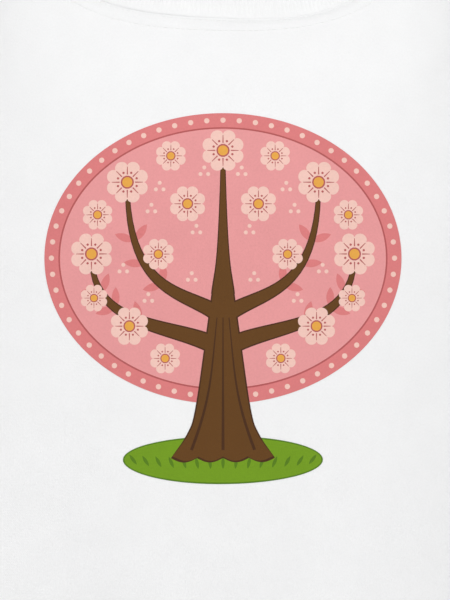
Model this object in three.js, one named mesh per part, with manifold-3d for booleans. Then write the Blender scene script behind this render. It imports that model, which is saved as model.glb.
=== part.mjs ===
// A short-sleeved crew-neck T-shirt of white cotton jersey, in the shape that it takes on a wearer's
// chest and shoulders, with a round blossom-tree ornament printed on its front.
// Millimetres, +Z up. The front faces -Y. The origin is midway between the two points where the
// shoulder seams meet the collar, which is where a wearer's shoulders carry the shirt.
import * as THREE from 'three';
import { mergeVertices } from 'three/addons/utils/BufferGeometryUtils.js';
import { TessellateModifier } from 'three/addons/modifiers/TessellateModifier.js';
import Module from 'manifold-3d';

const wasm = await Module();
wasm.setup();

const V = (x, y, z) => new THREE.Vector3(x, y, z);
const flat = (x, y) => new THREE.Vector2(x, y);
const blend = THREE.MathUtils.lerp;

// Driving dimensions.

const CLOTH = 1.2; // one layer of jersey as a solid, about twice what the knit measures
const HEM_FOLD = 1.2; // what a folded hem adds on the inside
const RIB = 2.2; // the collar's rib knit, folded double
const SEAM_GAP = 0.4; // between two panels along a seam
const RIB_GAP = 0.8; // between the panels and the rib, which is thicker

const ARMPIT_Z = -235;
const HEM_Z = -722;
const HEM_DEEP = 22;
const SLEEVE_HEM_DEEP = 20;
const FOLD_STEP = 1; // the height over which a hem's second layer ends

// The girth at four heights: half its width, and how far the front and the back stand out. It hangs
// narrower and deeper towards the hem.
const GIRTHS = [
  { z: ARMPIT_Z, half: 196, front: 118, back: 110 },
  { z: -330, half: 194, front: 118, back: 109 },
  { z: -450, half: 189, front: 118, back: 111 },
  { z: HEM_Z, half: 184, front: 124, back: 120 },
];
const GIRTH_POWER = 2.3; // 2 is an ellipse, and more is squarer

// The upright folds of the loose cloth. On each panel they grow from their top downwards, and they
// fade out to the side seams.
const FOLDS = {
  count: 4,
  first: 1 / 6, // where the first ridge stands, as a share of the panel's width
  grow: 240, // the height over which they come to their full depth
  front: { top: -335, deep: 16 },
  back: { top: ARMPIT_Z, deep: 24 },
};

const SHOULDER = V(215, 5, -45); // where the shoulder seam meets the sleeve
const COLLAR_HALF = 103; // the collar seam where it crosses the shoulder seams
// Each half of the collar seam: its lowest point, how square it is seen from above, how steeply it
// falls from the shoulder, and how flat its crest on the shoulder is seen from the side.
const COLLAR = {
  front: { low: V(0, -90, -91.5), power: 2.8, fall: 0.71, crest: 1.9 },
  back: { low: V(0, 62, -18), power: 2.2, fall: 2, crest: 2 },
};
const RIB_WIDE = 20;
const RIB_LEAN = { middle: 0.42, shoulder: 0.82 }; // inwards to the neck, as a share of its width
const NECK_CENTRE_Y = -14;
const NECK_DEPTH_SHARE = 0.74; // of the neck's half depth to its half width

// How the cloth comes up to the panel's top edge, as handle lengths: sideways, inwards and upwards.
const TOP_HANDLE = {
  shoulder: V(0, 68, 14),
  corner: V(-42, 52, 28),
  front: V(0, 26, 52),
  back: V(0, 40, 62),
};
const SIDE_HANDLE = 0.37; // how far the cloth rises straight up from the armpit's height
const EDGE_FADE = 3; // how quickly the armhole's pull on a panel dies away from its edge
const ARMHOLE = { reach: 78, in: 9, up: 48, overIn: 20, overDown: 46 };

const SLEEVE_TOP = V(352, 0, -196); // the sleeve's edge, above and below the arm
const SLEEVE_UNDER = V(267, 0, -297);
const SLEEVE_HALF_DEEP = 47; // half the sleeve's opening from front to back
const SLEEVE_LEAVES = { top: V(0.9, 0, -0.44), under: V(0.68, 0, -0.73) };

const TAPE = { wide: 10, thick: 0.8, gap: 0.9, below: 1.5, short: 2 }; // it covers the seam inside the neck

// The printed ornament, as flat layers on the chest. Its sizes are measured from its centre.
const PRINT = {
  z: -236,
  gap: 0.3,
  ink: 0.4,
  crown: { half: 90, high: 73, up: 20 },
  foot: { half: 50, high: 12, up: -81 },
  trunk: { half: 14, flare: 12, low: -80, high: 12, tip: 4.5 },
  boughs: [
    { out: 66, up: 22, from: -26, wide: 10 },
    { out: 48, up: 58, from: -10, wide: 9 },
    { out: 0, up: 74, from: 2, wide: 12 },
  ],
  bend: { rise: 14, level: 8 }, // a bough rises from the trunk, runs level and then turns up
  tip: 2.2,
};

// How finely the panels are cut. Neighbours share their points along every seam.
const SHOULDER_COLUMNS = 6;
const COLLAR_COLUMNS = 20;
const COLUMNS = 2 * SHOULDER_COLUMNS + COLLAR_COLUMNS;
const BODY_ROWS = 10;
const YOKE_ROWS = 12;
const SLEEVE_ROWS = 6;
const CURVE_STEPS = 72;
const RIB_STEPS = 2;
const STROKE_STEPS = 12;
const OVAL_STEPS = 28;
const FACET = 12; // the longest edge of the printed layers before they are bent
const FACET_ROUNDS = 20;
const KEYS_PER_MM = 20; // points closer than this count as one where panels meet

const matt = (color, roughness) => new THREE.MeshStandardMaterial({ color, roughness, metalness: 0 });
const jersey = matt(0xf3f3f4, 0.9);
const ribKnit = matt(0xf0f0f1, 0.92);
const tapeKnit = matt(0xeeeeee, 0.85);
const crownInk = matt(0xe39a9a, 0.8);
const woodInk = matt(0x5c3a12, 0.8);
const leafInk = matt(0x6f960c, 0.8);

// The shirt's surface, as curves that the panels are lofted through.

const signedPower = (value, power) => Math.sign(value) * Math.abs(value) ** power;
const halfTurn = (visit) => Array.from({ length: CURVE_STEPS + 1 }, (_, i) => {
  const angle = (i / CURVE_STEPS - 0.5) * Math.PI;
  return visit(Math.sin(angle), i % CURVE_STEPS ? Math.cos(angle) : 0);
});
const spaced = (points, count) => new THREE.CatmullRomCurve3(points).getSpacedPoints(count);

// One size of the girth at a height, on a smooth curve through the stated ones.
function girthAt(z, size) {
  const curve = new THREE.SplineCurve(GIRTHS.map((girth) => flat(girth.z, girth[size])));
  let low = 0;
  let high = 1;
  while (high - low > 1e-5) {
    const middle = (low + high) / 2;
    if (curve.getPoint(middle).x > z) {
      low = middle;
    } else {
      high = middle;
    }
  }
  return curve.getPoint(low).y;
}

// Half of the girth at one height, from one side seam to the other, with its folds.
function girthRow(z, side) {
  const half = girthAt(z, 'half');
  const deep = girthAt(z, side < 0 ? 'front' : 'back');
  const power = 2 / GIRTH_POWER;
  const row = spaced(halfTurn((sin, cos) => (
    V(half * signedPower(sin, power), side * deep * cos ** power, z))), COLUMNS);
  const fold = FOLDS[side < 0 ? 'front' : 'back'];
  const grown = fold.deep * THREE.MathUtils.smoothstep(fold.top - z, 0, FOLDS.grow);
  return row.map((point, i) => {
    const u = i / COLUMNS;
    const wave = Math.cos(2 * Math.PI * FOLDS.count * (u - FOLDS.first)) * Math.sin(Math.PI * u);
    return point.add(V(0, side * grown * wave, 0));
  });
}

// The panel's top edge: a shoulder seam, the collar seam and the other shoulder seam.
function topRow({ low, power, fall, crest }) {
  const row = spaced(halfTurn((sin, cos) => {
    const down = cos ** fall;
    const y = blend(SHOULDER.y, low.y, down ** (1 / crest));
    return V(COLLAR_HALF * signedPower(sin, 2 / power), y, low.z * down);
  }), COLLAR_COLUMNS);
  const corner = row[COLLAR_COLUMNS];
  for (let i = 1; i <= SHOULDER_COLUMNS; i += 1) {
    const right = corner.clone().lerp(SHOULDER, i / SHOULDER_COLUMNS);
    row.push(right);
    row.unshift(V(-right.x, right.y, right.z));
  }
  return row;
}

// The armhole's edge on one panel, from the armpit up to the shoulder.
function armhole(armpit, side) {
  const sign = Math.sign(armpit.x);
  const top = V(sign * SHOULDER.x, SHOULDER.y, SHOULDER.z);
  const under = armpit.clone().add(V(-sign * ARMHOLE.in, side * ARMHOLE.reach, ARMHOLE.up));
  const over = top.clone().add(V(-sign * ARMHOLE.overIn, side * ARMHOLE.reach, -ARMHOLE.overDown));
  return new THREE.CubicBezierCurve3(armpit, under, over, top);
}

// One panel of the body as rows of points from the hem to the shoulders. Side is -1 for the front.
function bodyPanel(side) {
  const face = side < 0 ? 'front' : 'back';
  const rows = [girthRow(HEM_Z, side), girthRow(HEM_Z + HEM_DEEP, side)];
  const foldEnd = HEM_Z + HEM_DEEP + FOLD_STEP;
  for (let j = 0; j < BODY_ROWS; j += 1) {
    rows.push(girthRow(blend(foldEnd, ARMPIT_Z, j / BODY_ROWS), side));
  }
  const bottom = girthRow(ARMPIT_Z, side);
  const top = topRow(COLLAR[face]);
  const columns = bottom.map((start, i) => {
    const end = top[i];
    const past = (Math.abs(end.x) - COLLAR_HALF) / (SHOULDER.x - COLLAR_HALF);
    const pull = TOP_HANDLE.corner.clone();
    if (past > 0) pull.lerp(TOP_HANDLE.shoulder, past);
    else pull.lerp(TOP_HANDLE[face], end.z / COLLAR[face].low.z);
    pull.multiply(V(Math.sign(end.x), -side, 1));
    const rise = V(0, 0, SIDE_HANDLE * (end.z - start.z));
    return new THREE.CubicBezierCurve3(start, start.clone().add(rise), end.clone().sub(pull), end);
  });
  const edges = [0, COLUMNS].map((i) => armhole(bottom[i], side));
  for (let j = 0; j <= YOKE_ROWS; j += 1) {
    const v = j / YOKE_ROWS;
    const shifts = edges.map((edge, k) => edge.getPoint(v).sub(columns[k * COLUMNS].getPoint(v)));
    rows.push(columns.map((column, i) => {
      const u = (2 * i) / COLUMNS - 1;
      return column.getPoint(v).addScaledVector(shifts[u < 0 ? 0 : 1], Math.abs(u) ** EDGE_FADE);
    }));
  }
  return rows;
}

// A sleeve as rings of points, from the armhole to its open edge. Sign is 1 for +X.
function sleevePanel(front, back, sign) {
  const edge = (panel) => panel.slice(-YOKE_ROWS - 1).map((row) => row[sign > 0 ? COLUMNS : 0]);
  const start = [...edge(front).reverse(), ...edge(back).slice(1, -1)];
  const middle = SLEEVE_TOP.clone().lerp(SLEEVE_UNDER, 0.5);
  const up = SLEEVE_TOP.clone().sub(middle);
  const outward = V(sign * up.z, 0, -up.x).normalize();
  const lines = start.map((point, k) => {
    const angle = (2 * Math.PI * k) / start.length;
    const end = middle.clone().addScaledVector(up, Math.cos(angle));
    end.set(sign * end.x, -SLEEVE_HALF_DEEP * Math.sin(angle), end.z);
    const leaves = SLEEVE_LEAVES.top.clone().lerp(SLEEVE_LEAVES.under, (1 - Math.cos(angle)) / 2);
    leaves.x *= sign;
    const third = point.distanceTo(end) / 3;
    const first = point.clone().addScaledVector(leaves, third);
    return new THREE.CubicBezierCurve3(point, first, end.clone().addScaledVector(outward, -third), end);
  });
  const ring = (share, fromEdge) => lines.map((line) => (
    line.getPointAt(share * (1 - fromEdge / line.getLength()))));
  const plain = Array.from({ length: SLEEVE_ROWS }, (_, j) => (
    ring(j / (SLEEVE_ROWS - 1), SLEEVE_HEM_DEEP + FOLD_STEP)));
  return [...plain, ring(1, SLEEVE_HEM_DEEP), ring(1, 0)];
}

// The collar's rib as rings of points, from its seam up to its free edge.
function ribPanel(front, back) {
  const seamOf = (panel) => panel.at(-1).slice(SHOULDER_COLUMNS, COLUMNS - SHOULDER_COLUMNS + 1);
  const seam = [...seamOf(front).slice(0, -1), ...seamOf(back).reverse().slice(0, -1)];
  return Array.from({ length: RIB_STEPS + 1 }, (_, j) => seam.map((point) => {
    const lean = blend(RIB_LEAN.middle, RIB_LEAN.shoulder, (point.x / COLLAR_HALF) ** 2);
    const inward = V(-point.x, (NECK_CENTRE_Y - point.y) / NECK_DEPTH_SHARE, 0).setLength(lean);
    return point.clone().addScaledVector(inward.setZ(Math.sqrt(1 - lean ** 2)), (RIB_WIDE * j) / RIB_STEPS);
  }));
}

// Turning panels into solids.

function eachCell({ rows, closed }, visit) {
  const count = rows[0].length;
  for (let j = 0; j + 1 < rows.length; j += 1) {
    for (let i = 0; i < (closed ? count : count - 1); i += 1) {
      const next = (i + 1) % count;
      visit(rows[j][i], rows[j][next], rows[j + 1][next], rows[j + 1][i]);
    }
  }
}

// The outward direction at every point, averaged over all the panels that meet there.
class Normals {
  constructor(panels) {
    this.sums = new Map();
    panels.forEach((panel) => eachCell(panel, (a, b, c, d) => {
      const normal = c.clone().sub(a).cross(d.clone().sub(b)).multiplyScalar(panel.flip ? -1 : 1);
      [a, b, c, d].forEach((point) => this.sum(point).add(normal));
    }));
  }

  sum(point) {
    const key = point.toArray().map((value) => Math.round(value * KEYS_PER_MM)).join();
    if (!this.sums.has(key)) this.sums.set(key, V(0, 0, 0));
    return this.sums.get(key);
  }

  at(point) {
    return this.sum(point).clone().normalize();
  }
}

// A closed sheet on rows of points. Its edges are drawn in to leave half of the seam's gap.
function sheetGeometry({ rows, closed, flip, thick, gap = SEAM_GAP, fold = () => 0 }, normals) {
  const count = rows[0].length;
  const last = rows.length - 1;
  const cells = closed ? count : count - 1;
  const place = (j, i, share) => {
    const point = rows[j][i].clone();
    const drawIn = (other) => point.add(other.clone().sub(rows[j][i]).setLength(gap / 2));
    if (j === 0) drawIn(rows[1][i]);
    if (j === last) drawIn(rows[last - 1][i]);
    if (!closed && i === 0) drawIn(rows[j][1]);
    if (!closed && i === count - 1) drawIn(rows[j][i - 1]);
    const depth = share * thick - (share < 0 ? fold(j) : 0);
    return point.addScaledVector(normals.at(rows[j][i]), depth);
  };
  const corners = [];
  const quad = (...four) => {
    const [a, b, c, d] = (flip ? four.reverse() : four).map(([j, i, share]) => place(j, i % count, share));
    corners.push(a, b, c, a, c, d);
  };
  for (let i = 0; i < cells; i += 1) {
    for (let j = 0; j < last; j += 1) {
      quad([j, i, 0.5], [j, i + 1, 0.5], [j + 1, i + 1, 0.5], [j + 1, i, 0.5]);
      quad([j + 1, i, -0.5], [j + 1, i + 1, -0.5], [j, i + 1, -0.5], [j, i, -0.5]);
    }
    quad([0, i, -0.5], [0, i + 1, -0.5], [0, i + 1, 0.5], [0, i, 0.5]);
    quad([last, i, 0.5], [last, i + 1, 0.5], [last, i + 1, -0.5], [last, i, -0.5]);
  }
  for (let j = 0; !closed && j < last; j += 1) {
    quad([j, 0, -0.5], [j, 0, 0.5], [j + 1, 0, 0.5], [j + 1, 0, -0.5]);
    quad([j + 1, cells, -0.5], [j + 1, cells, 0.5], [j, cells, 0.5], [j, cells, -0.5]);
  }
  return new THREE.BufferGeometry().setFromPoints(corners);
}

const shirt = new THREE.Group();

function addPiece(name, geometry, material) {
  const mesh = new THREE.Mesh(mergeVertices(geometry, 1e-3), material);
  mesh.geometry.computeVertexNormals();
  mesh.name = name;
  shirt.add(mesh);
  return mesh;
}

// The panels, the collar and the tape inside the neck.

const frontRows = bodyPanel(-1);
const backRows = bodyPanel(1);
const bodyFold = (j) => (j < 2 ? HEM_FOLD : 0);
const sleeveFold = (j) => (j >= SLEEVE_ROWS ? HEM_FOLD : 0);
const leftRows = sleevePanel(frontRows, backRows, 1);
const rightRows = sleevePanel(frontRows, backRows, -1);
const panels = {
  front_panel: { rows: frontRows, thick: CLOTH, fold: bodyFold },
  back_panel: { rows: backRows, flip: true, thick: CLOTH, fold: bodyFold },
  left_sleeve: { rows: leftRows, closed: true, thick: CLOTH, fold: sleeveFold },
  right_sleeve: { rows: rightRows, closed: true, flip: true, thick: CLOTH, fold: sleeveFold },
  neck_rib: { rows: ribPanel(frontRows, backRows), closed: true, thick: RIB, gap: RIB_GAP },
};
const normals = new Normals(Object.values(panels));
const [chest] = Object.entries(panels).map(([name, panel]) => (
  addPiece(name, sheetGeometry(panel, normals), name === 'neck_rib' ? ribKnit : jersey)));

const tapeRow = (down) => {
  const [top, below] = [backRows.at(-1), backRows.at(-2)].map((row) => (
    row.slice(SHOULDER_COLUMNS + TAPE.short, COLUMNS - SHOULDER_COLUMNS - TAPE.short + 1)));
  const depth = (CLOTH + TAPE.thick) / 2 + TAPE.gap;
  return top.map((point, i) => {
    const share = down / point.distanceTo(below[i]);
    const inward = normals.at(point).lerp(normals.at(below[i]), share).setLength(-depth);
    return point.clone().lerp(below[i], share).add(inward);
  });
};
const tape = { rows: [tapeRow(TAPE.below + TAPE.wide), tapeRow(TAPE.below)], flip: true, thick: TAPE.thick };
addPiece('neck_tape', sheetGeometry(tape, new Normals([tape])), tapeKnit);

// The printed ornament: flat solids, bent onto the front panel.

const ray = new THREE.Raycaster();

function clothY(x, z) {
  ray.set(V(x, 2 * COLLAR.front.low.y, z), V(0, 1, 0));
  return ray.intersectObject(chest)[0].point.y;
}

const ellipse = ({ half, high, up }) => new THREE.Shape().absellipse(0, up, half, high, 0, 2 * Math.PI);

// A stroke along a flat curve that narrows from one width to another.
function stroke(curve, wide, tip) {
  const edge = (sign) => Array.from({ length: STROKE_STEPS + 1 }, (_, i) => {
    const share = i / STROKE_STEPS;
    const across = curve.getTangent(share).rotateAround(flat(0, 0), (sign * Math.PI) / 2);
    return curve.getPoint(share).addScaledVector(across, blend(wide, tip, share) / 2);
  });
  return new THREE.Shape([...edge(-1), ...edge(1).reverse()]);
}

function flatSolid(shape) {
  const settings = { depth: PRINT.ink, bevelEnabled: false, curveSegments: OVAL_STEPS };
  const geometry = new THREE.ExtrudeGeometry(shape, settings);
  geometry.deleteAttribute('normal');
  geometry.deleteAttribute('uv');
  const merged = mergeVertices(geometry, 1e-4);
  return new wasm.Manifold(new wasm.Mesh({
    numProp: 3,
    vertProperties: new Float32Array(merged.getAttribute('position').array),
    triVerts: new Uint32Array(merged.getIndex().array),
  }));
}

// Lays a flat solid on the chest. Layer 0 is on the cloth, and layer 1 on top of layer 0.
function laid(solid, layer) {
  const mesh = solid.getMesh();
  const whole = new THREE.BufferGeometry();
  whole.setAttribute('position', new THREE.BufferAttribute(mesh.vertProperties, 3));
  whole.setIndex(new THREE.BufferAttribute(mesh.triVerts, 1));
  const geometry = new TessellateModifier(FACET, FACET_ROUNDS).modify(whole);
  const points = geometry.getAttribute('position');
  const off = PRINT.gap + layer * (PRINT.ink + PRINT.gap);
  for (let i = 0; i < points.count; i += 1) {
    const z = PRINT.z + points.getY(i);
    points.setXYZ(i, points.getX(i), clothY(points.getX(i), z) - off - points.getZ(i), z);
  }
  return geometry;
}

const { trunk, bend } = PRINT;
const trunkSide = [
  flat(trunk.half + trunk.flare, trunk.low),
  flat(trunk.half + trunk.flare / 3, trunk.low + trunk.flare),
  flat(trunk.half, trunk.low + 2 * trunk.flare),
  flat(trunk.tip, trunk.high),
];
const trunkShape = new THREE.Shape([
  ...trunkSide,
  ...trunkSide.map((point) => flat(-point.x, point.y)).reverse(),
]);
const boughs = PRINT.boughs.flatMap(({ out, up, from, wide }) => (out ? [-out, out] : [0]).map((x) => {
  const corners = [[0, from], [x / 3, from + bend.rise], [x, from + bend.level], [x, up]];
  return stroke(new THREE.CubicBezierCurve(...corners.map((corner) => flat(...corner))), wide, PRINT.tip);
}));
const tree = wasm.Manifold.union([trunkShape, ...boughs].map(flatSolid));
addPiece('print_crown', laid(flatSolid(ellipse(PRINT.crown)), 0), crownInk);
addPiece('print_foot', laid(flatSolid(ellipse(PRINT.foot)), 0), leafInk);
addPiece('print_tree', laid(tree, 1), woodInk);

export default shirt;
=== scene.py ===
"""Dresses a short-sleeved crew-neck T-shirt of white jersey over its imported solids.

Metres, +Z up, with the shirt's front towards -Y. The cloth is cut by curves like those of the solids,
which have the shape that it hangs in, and is draped over a hidden torso and refined. The collar,
tape, stitches and printed ornament are then laid on the draped cloth.
"""
import math

import bpy
import numpy as np
from bpy.props import FloatProperty, FloatVectorProperty, IntProperty, PointerProperty
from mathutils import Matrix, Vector
from mathutils.bvhtree import BVHTree
from mathutils.geometry import delaunay_2d_cdt
from mathutils.interpolate import poly_3d_calc


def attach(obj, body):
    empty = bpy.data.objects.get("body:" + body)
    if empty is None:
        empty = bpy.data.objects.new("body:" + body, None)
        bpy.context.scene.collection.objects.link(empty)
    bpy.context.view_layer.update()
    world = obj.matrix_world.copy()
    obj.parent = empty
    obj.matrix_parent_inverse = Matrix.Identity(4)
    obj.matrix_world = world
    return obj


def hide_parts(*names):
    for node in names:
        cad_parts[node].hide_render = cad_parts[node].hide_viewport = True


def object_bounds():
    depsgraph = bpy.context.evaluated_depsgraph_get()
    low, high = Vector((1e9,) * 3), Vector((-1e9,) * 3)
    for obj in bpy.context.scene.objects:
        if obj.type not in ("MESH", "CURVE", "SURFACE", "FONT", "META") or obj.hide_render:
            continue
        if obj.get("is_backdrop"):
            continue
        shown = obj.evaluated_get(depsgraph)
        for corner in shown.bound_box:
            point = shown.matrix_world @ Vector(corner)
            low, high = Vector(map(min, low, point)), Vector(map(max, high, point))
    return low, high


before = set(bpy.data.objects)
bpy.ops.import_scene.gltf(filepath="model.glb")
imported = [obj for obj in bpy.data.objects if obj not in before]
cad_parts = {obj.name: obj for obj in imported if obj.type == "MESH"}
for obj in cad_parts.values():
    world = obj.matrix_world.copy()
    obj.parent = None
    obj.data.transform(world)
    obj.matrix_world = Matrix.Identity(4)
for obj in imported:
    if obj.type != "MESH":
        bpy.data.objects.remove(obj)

bl_info = {
    "name": "Printed T-shirt",
    "version": (1, 0, 0),
    "blender": (4, 5, 0),
    "location": "3D View > Sidebar > Shirt",
    "description": "Drapes and finishes a crew-neck T-shirt with a printed blossom-tree ornament",
    "category": "Add Mesh",
}

CAD_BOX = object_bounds()
BODY = "root"

# The cut of the cloth before it hangs, in metres. Above the armpits it is that of the solids.

ARMPIT_Z = -0.235
HEM_Z = -0.700
GIRTHS = {  # by height: half the width, and how far the front and the back stand out
    -0.235: (0.196, 0.118, 0.110),
    -0.330: (0.195, 0.117, 0.106),
    -0.450: (0.197, 0.114, 0.104),
    -0.700: (0.206, 0.118, 0.112),
}
GIRTH_POWER = 2.3
SHOULDER = np.array([0.215, 0.005, -0.045])
COLLAR_HALF = 0.103
COLLAR = {
    -1: {"low": np.array([0, -0.090, -0.0915]), "power": 2.8, "fall": 0.71, "crest": 1.9},
    1: {"low": np.array([0, 0.062, -0.018]), "power": 2.2, "fall": 2.0, "crest": 2.0},
}
TOP_HANDLE = {
    "shoulder": np.array([0, 0.068, 0.014]),
    "corner": np.array([-0.042, 0.052, 0.028]),
    -1: np.array([0, 0.026, 0.052]),
    1: np.array([0, 0.040, 0.062]),
}
SIDE_HANDLE = 0.37
ARMHOLE = {"reach": 0.078, "in": 0.009, "up": 0.048, "over_in": 0.020, "over_down": 0.046}
SLEEVE_TOP = np.array([0.352, 0, -0.196])
SLEEVE_UNDER = np.array([0.267, 0, -0.297])
SLEEVE_HALF_DEEP = 0.047
SLEEVE_LEAVES = {"top": np.array([0.9, 0, -0.44]), "under": np.array([0.68, 0, -0.73])}
NECK_CENTRE_Y = -0.014
NECK_DEPTH_SHARE = 0.74

ARM_PIVOT = (0.190, -0.075)  # where an arm turns, across and up
FRONT, BACK = -1, 1
LEFT, RIGHT = 1, -1

# How finely the draped cloth is cut.

SHOULDER_COLUMNS = 8
COLLAR_COLUMNS = 20
COLUMNS = 2 * SHOULDER_COLUMNS + COLLAR_COLUMNS
BODY_ROWS = 38
YOKE_ROWS = 20
SLEEVE_ROWS = 17
DENSE = 721  # points on a curve before it is spaced out evenly
CURVE_POINTS = 60  # points on a curve between two stated ones
COLLAR_SEAM = slice(SHOULDER_COLUMNS, COLUMNS - SHOULDER_COLUMNS + 1)
PANELS = {  # which way a grid's normals face, and whether it is a sleeve, with its hem in the last row
    "front": {"outward": 1, "sleeve": False},
    "back": {"outward": -1, "sleeve": False},
    "left": {"outward": -1, "sleeve": True},
    "right": {"outward": 1, "sleeve": True},
}

# How the cloth is draped, in metres.

REACHES = {  # where each change up or across the shirt begins, and where it is whole
    "hips": (-0.22, -0.45),
    "waist": (-0.22, -0.62),
    "loose": (-0.20, -0.50),
    "taut": (-0.46, -0.26),
    "arm_out": (0.160, 0.270),
    "arm_up": (-0.34, -0.30),
    "print_in": (0.135, 0.085),
    "print_up": (-0.50, -0.33),
}
EASE = {"all": 0.0035, "side": 0.012, "side_low": 0.010, "low": 0.008, "under_arm": 0.008}
CALM = {"chest": 0.15, "sleeve": 0.3}  # the share of the unevenness there
WAVE_COUNT = 7
WAVE_FACING = (1, 1, 0.45)  # they rather run round the body than up it
FORM_WAVES = (0.07, 0.19)  # lengths of the shortest and the longest wave in the torso
CLOTH_WAVES = (0.10, 0.24)
FORM_UNEVEN = 0.3  # the torso's unevenness as a share of the cloth's
TORSO_MOVES = ((0, 0), (0.3, 1), (0.65, 0.2))  # a share of the frames, and how far it has moved
WELD_STEP = 2e-4
CLOTH_GAP = 0.002
FRICTION = 8
CHEST_SLACK = 0.002
SLEEVE_TAUT = 0.2
PRINT_ROUNDS = 16  # how often the cloth under the print is evened out
CLOTH = {
    "quality": 7,
    "mass": 0.25,
    "tension_stiffness": 12,
    "compression_stiffness": 12,
    "shear_stiffness": 6,
    "tension_damping": 6,
    "bending_damping": 0.5,
    "air_damping": 1.5,
    "vertex_group_mass": "pin",
    "vertex_group_shrink": "taut",
}


def number_setting(name, description, default, low, high, **more):
    return FloatProperty(
        name=name, description=description, default=default, min=low, max=high, **more
    )


def length_setting(*facts):
    return number_setting(*facts, unit="LENGTH")


def count_setting(name, description, default, low, high):
    return IntProperty(name=name, description=description, default=default, min=low, max=high)


def colour_setting(name, description, *default):
    return FloatVectorProperty(
        name=name, description=description, subtype="COLOR", size=3, default=default, min=0, max=1
    )


class ShirtCut(bpy.types.PropertyGroup):
    """Sizes of the sewn details."""

    jersey_thick: length_setting("Jersey", "Thickness of one layer of jersey", 0.0007, 0.0003, 0.002)
    hem_deep: length_setting("Hem", "Depth of the turned hem at the bottom", 0.022, 0.01, 0.04)
    sleeve_hem_deep: length_setting("Sleeve hem", "Depth of each sleeve's turned hem", 0.020, 0.01, 0.04)
    rib_wide: length_setting("Rib", "Width of the collar's rib band", 0.020, 0.01, 0.04)
    rib_thick: length_setting("Rib thickness", "Thickness of the folded rib band", 0.0023, 0.001, 0.004)
    needle_gap: length_setting("Needle gap", "Between a twin needle's two rows", 0.0062, 0.002, 0.01)
    stitch_pitch: length_setting("Stitch pitch", "From one stitch to the next", 0.0031, 0.002, 0.006)
    thread_radius: length_setting("Thread", "Radius of the sewing thread", 0.00017, 0.0001, 0.0006)
    tape_wide: length_setting("Tape", "Width of the tape inside the neck", 0.010, 0.005, 0.02)


class ShirtDrape(bpy.types.PropertyGroup):
    """How the cloth hangs."""

    frames: count_setting("Frames", "Length of the cloth simulation", 60, 1, 200)
    slack: number_setting(
        "Slack", "How much larger the cloth is than its cut, away from the chest",
        0.045, 0, 0.1, subtype="FACTOR",
    )
    bending: number_setting("Bending", "How stiffly it bends: higher gives wider folds", 0.6, 0, 20)
    arm_swing: number_setting("Arm swing", "How far the arms are moved, in degrees", 9, 0, 30)
    twist: number_setting("Twist", "How far the waist is turned and back, in degrees", 8, 0, 30)
    side_step: length_setting("Side step", "How far the waist is moved aside and back", 0.014, 0, 0.05)
    uneven: length_setting("Unevenness", "How far the cloth is pushed in and out first", 0.008, 0, 0.02)
    even: count_setting("Evenness", "How often the finest creases are evened out", 1, 0, 10)


class ShirtColours(bpy.types.PropertyGroup):
    """Colours of the cloth and of the printed inks."""

    jersey: colour_setting("Jersey", "White cotton", 0.84, 0.84, 0.84)
    thread: colour_setting("Thread", "Sewing thread", 0.86, 0.86, 0.86)
    pink: colour_setting("Pink", "The crown", 0.74, 0.30, 0.30)
    rose: colour_setting("Rose", "The crown's border", 0.66, 0.19, 0.19)
    petal: colour_setting("Petal", "The rosettes", 0.82, 0.53, 0.46)
    gold: colour_setting("Gold", "The rosettes' centres", 0.74, 0.36, 0.06)
    bark: colour_setting("Bark", "The trunk and boughs", 0.115, 0.045, 0.006)
    wine: colour_setting("Wine", "Fine lines and dots in the crown", 0.42, 0.09, 0.09)
    bark_edge: colour_setting("Bark edge", "Lines on the trunk and boughs", 0.060, 0.020, 0.004)
    leaf_edge: colour_setting("Leaf edge", "Lines on the foot", 0.085, 0.19, 0.006)
    leaf: colour_setting("Leaf", "The foot", 0.155, 0.30, 0.008)


class StudioLook(bpy.types.PropertyGroup):
    """The floor and the camera."""

    floor_gap: length_setting("Floor gap", "From the hem down to the floor", 0.12, 0, 2)
    view_high: length_setting("View", "Height of the picture on the chest", 0.30, 0.1, 2)
    lens: number_setting("Lens", "Focal length of the camera in millimetres", 135, 20, 300)


# Curves and grids.


def lengths_along(points):
    """How far along a polyline each of its points lies."""
    return np.concatenate([[0], np.cumsum(np.linalg.norm(np.diff(points, axis=0), axis=1))])


def read_at(places, along, values):
    """Values known along a line, read at other places on it."""
    return np.stack([np.interp(places, along, axis) for axis in values.T], axis=-1)


def read_columns(grid, far, at):
    """Values on a grid, read in each column where it is at one distance from an edge."""
    return np.array([read_at(at, far[:, k], grid[:, k]) for k in range(far.shape[1])])


def spaced(points, count):
    """Even steps along a polyline."""
    points = np.asarray(points, float)
    along = lengths_along(points)
    return read_at(np.linspace(0, along[-1], count + 1), along, points)


def closed(ring):
    return np.concatenate([ring, ring[:1]])


def circle(count, turn=0.0):
    """Points round a flat circle of radius 1."""
    angle = np.linspace(0, 2 * math.pi, count, endpoint=False) + turn
    return np.stack([np.cos(angle), np.sin(angle)], axis=1)


def blend(a, b, share):
    return a + (b - a) * share


def half_turn():
    angle = np.linspace(-math.pi / 2, math.pi / 2, DENSE)
    return np.sin(angle), np.clip(np.cos(angle), 1e-12, None)


def signed_power(values, power):
    return np.sign(values) * np.abs(values) ** power


def bezier(a, b, c, d, t):
    t = np.asarray(t)[:, None]
    return a * (1 - t) ** 3 + 3 * b * t * (1 - t) ** 2 + 3 * c * t**2 * (1 - t) + d * t**3


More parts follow.
